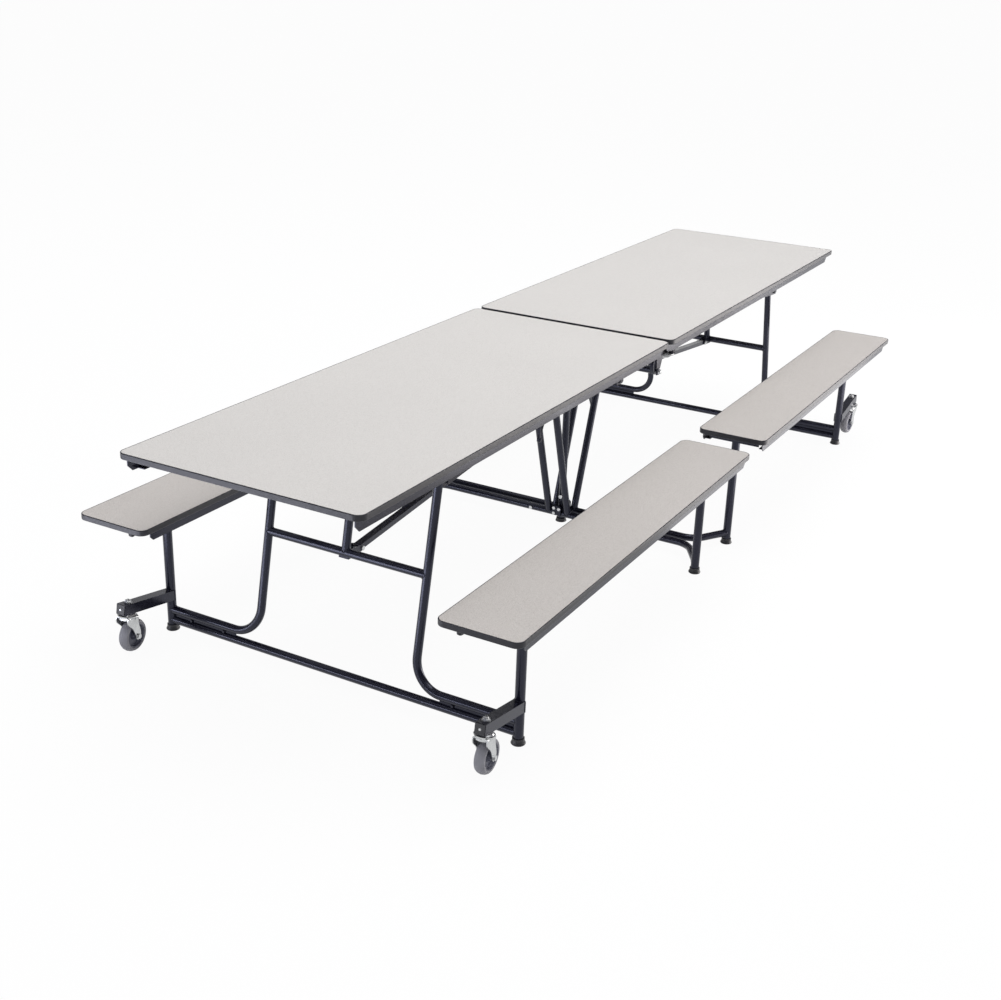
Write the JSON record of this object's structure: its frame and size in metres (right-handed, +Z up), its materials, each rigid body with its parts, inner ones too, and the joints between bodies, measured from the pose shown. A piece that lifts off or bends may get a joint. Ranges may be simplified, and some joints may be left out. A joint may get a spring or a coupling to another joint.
{
  "type": "folding cafeteria table with benches",
  "caption": "Long cafeteria table with attached benches that folds up at the middle and rolls away on swivel casters.",
  "frame": {"origin": "on the floor under the middle of the fold", "axes": "+X along the length to the far end, +Y to the left bench, +Z up"},
  "size_m": [3.658, 1.446, 0.749],
  "materials": {
    "top_laminate": "fine speckled matte laminate",
    "seat_laminate": "fine speckled matte laminate",
    "edge_band": "satin vinyl",
    "black_steel": "satin powder coat",
    "zinc_hardware": "bright zinc plate",
    "black_plastic": "matte",
    "grey_rubber": "matte non-marking rubber",
    "caster_hub": "satin nylon"
  },
  "bodies": {
    "centre_frame": {"centre_bench_arms": "black_steel", "centre_bolts": "zinc_hardware", "centre_bracket": "black_steel", "centre_cross_tubes": "black_steel", "centre_glides": "black_plastic", "centre_legs": "black_steel", "centre_upper_bars": "black_steel", "centre_v_tubes": "black_steel"},
    "far_end_frame": {"far_arm_plugs": "black_plastic", "far_bench_legs": "black_steel", "far_caster_arms": "black_steel", "far_cross_tube": "black_steel", "far_end_bolts": "zinc_hardware", "far_j_tubes": "black_steel", "far_upper_bars": "black_steel"},
    "far_brace": {"far_brace": "black_steel"},
    "far_left_bench": {"far_left_bench_band": "edge_band", "far_left_bench_board": "seat_laminate", "far_left_bench_bolts": "zinc_hardware", "far_left_bench_steel": "black_steel"},
    "far_left_caster": {"far_left_caster_fork": "zinc_hardware"},
    "far_left_wheel": {"far_left_caster_hub": "caster_hub", "far_left_caster_tyre": "grey_rubber"},
    "far_right_bench": {"far_right_bench_band": "edge_band", "far_right_bench_board": "seat_laminate", "far_right_bench_bolts": "zinc_hardware", "far_right_bench_steel": "black_steel"},
    "far_right_caster": {"far_right_caster_fork": "zinc_hardware"},
    "far_right_wheel": {"far_right_caster_hub": "caster_hub", "far_right_caster_tyre": "grey_rubber"},
    "far_top": {"far_top_band": "edge_band", "far_top_board": "top_laminate", "far_top_bolts": "zinc_hardware", "far_top_steel": "black_steel"},
    "near_end_frame": {"near_arm_plugs": "black_plastic", "near_bench_legs": "black_steel", "near_caster_arms": "black_steel", "near_cross_tube": "black_steel", "near_end_bolts": "zinc_hardware", "near_j_tubes": "black_steel", "near_upper_bars": "black_steel"},
    "near_brace": {"near_brace": "black_steel"},
    "near_left_bench": {"near_left_bench_band": "edge_band", "near_left_bench_board": "seat_laminate", "near_left_bench_bolts": "zinc_hardware", "near_left_bench_steel": "black_steel"},
    "near_left_caster": {"near_left_caster_fork": "zinc_hardware"},
    "near_left_wheel": {"near_left_caster_hub": "caster_hub", "near_left_caster_tyre": "grey_rubber"},
    "near_right_bench": {"near_right_bench_band": "edge_band", "near_right_bench_board": "seat_laminate", "near_right_bench_bolts": "zinc_hardware", "near_right_bench_steel": "black_steel"},
    "near_right_caster": {"near_right_caster_fork": "zinc_hardware"},
    "near_right_wheel": {"near_right_caster_hub": "caster_hub", "near_right_caster_tyre": "grey_rubber"},
    "near_top": {"near_top_band": "edge_band", "near_top_board": "top_laminate", "near_top_bolts": "zinc_hardware", "near_top_steel": "black_steel"}
  },
  "joints": [
    {"name": "fold", "type": "hinge", "parent": "near_end_frame", "child": "near_top", "pos_m": [-1.308, 0, 0.654], "axis": [0, -1, 0], "range_deg": [0, 80]},
    {"name": "near_top_to_centre", "type": "hinge", "parent": "near_top", "child": "centre_frame", "pos_m": [-0.22, 0, 0.654], "axis": [0, 1, 0], "range_deg": [0, 80]},
    {"name": "centre_to_far_top", "type": "hinge", "parent": "centre_frame", "child": "far_top", "pos_m": [0.22, 0, 0.654], "axis": [0, 1, 0], "range_deg": [0, 80]},
    {"name": "far_top_to_end", "type": "hinge", "parent": "far_top", "child": "far_end_frame", "pos_m": [1.308, 0, 0.654], "axis": [0, -1, 0], "range_deg": [0, 80]},
    {"name": "near_right_bench_pivot", "type": "hinge", "parent": "near_end_frame", "child": "near_right_bench", "pos_m": [-1.425, -0.605, 0.399], "axis": [0, -1, 0], "range_deg": [0, 80]},
    {"name": "far_right_bench_pivot", "type": "hinge", "parent": "centre_frame", "child": "far_right_bench", "pos_m": [0.337, -0.592, 0.399], "axis": [0, 1, 0], "range_deg": [0, 80]},
    {"name": "near_left_bench_pivot", "type": "hinge", "parent": "near_end_frame", "child": "near_left_bench", "pos_m": [-1.425, 0.605, 0.399], "axis": [0, -1, 0], "range_deg": [0, 80]},
    {"name": "far_left_bench_pivot", "type": "hinge", "parent": "centre_frame", "child": "far_left_bench", "pos_m": [0.337, 0.592, 0.399], "axis": [0, 1, 0], "range_deg": [0, 80]},
    {"name": "near_brace_pivot", "type": "hinge", "parent": "near_end_frame", "child": "near_brace", "pos_m": [-1.302, 0, 0.381], "axis": [0, -1, 0], "range_deg": [0, 80]},
    {"name": "far_brace_pivot", "type": "hinge", "parent": "centre_frame", "child": "far_brace", "pos_m": [0.214, 0, 0.381], "axis": [0, 1, 0], "range_deg": [0, 80]},
    {"name": "near_right_swivel", "type": "hinge", "parent": "near_end_frame", "child": "near_right_caster", "pos_m": [-1.6104, -0.605, 0.13302], "axis": [0.1668, 0, 0.986], "continuous": true},
    {"name": "near_right_wheel_spin", "type": "hinge", "parent": "near_right_caster", "child": "near_right_wheel", "pos_m": [-1.59348, -0.60343, 0.05338], "axis": [-0.0516, 0.9986, 0.0087], "continuous": true},
    {"name": "near_left_swivel", "type": "hinge", "parent": "near_end_frame", "child": "near_left_caster", "pos_m": [-1.6104, 0.605, 0.13302], "axis": [0.1668, 0, 0.986], "continuous": true},
    {"name": "near_left_wheel_spin", "type": "hinge", "parent": "near_left_caster", "child": "near_left_wheel", "pos_m": [-1.5936, 0.60814, 0.0534], "axis": [0.1031, -0.9945, -0.0174], "continuous": true},
    {"name": "far_right_swivel", "type": "hinge", "parent": "far_end_frame", "child": "far_right_caster", "pos_m": [1.6104, -0.605, 0.13302], "axis": [-0.1668, 0, 0.986], "continuous": true},
    {"name": "far_right_wheel_spin", "type": "hinge", "parent": "far_right_caster", "child": "far_right_wheel", "pos_m": [1.59348, -0.60343, 0.05338], "axis": [0.0516, 0.9986, 0.0087], "continuous": true},
    {"name": "far_left_swivel", "type": "hinge", "parent": "far_end_frame", "child": "far_left_caster", "pos_m": [1.6104, 0.605, 0.13302], "axis": [-0.1668, 0, 0.986], "continuous": true},
    {"name": "far_left_wheel_spin", "type": "hinge", "parent": "far_left_caster", "child": "far_left_wheel", "pos_m": [1.5936, 0.60814, 0.0534], "axis": [-0.1031, -0.9945, -0.0174], "continuous": true}
  ],
  "couplings": [
    {"joint": "near_top_to_centre", "follows": "fold", "ratio": 1},
    {"joint": "centre_to_far_top", "follows": "fold", "ratio": 1},
    {"joint": "far_top_to_end", "follows": "fold", "ratio": 1},
    {"joint": "near_right_bench_pivot", "follows": "fold", "ratio": 1},
    {"joint": "far_right_bench_pivot", "follows": "fold", "ratio": 1},
    {"joint": "near_left_bench_pivot", "follows": "fold", "ratio": 1},
    {"joint": "far_left_bench_pivot", "follows": "fold", "ratio": 1},
    {"joint": "near_brace_pivot", "follows": "fold", "ratio": 1},
    {"joint": "far_brace_pivot", "follows": "fold", "ratio": 1}
  ]
}
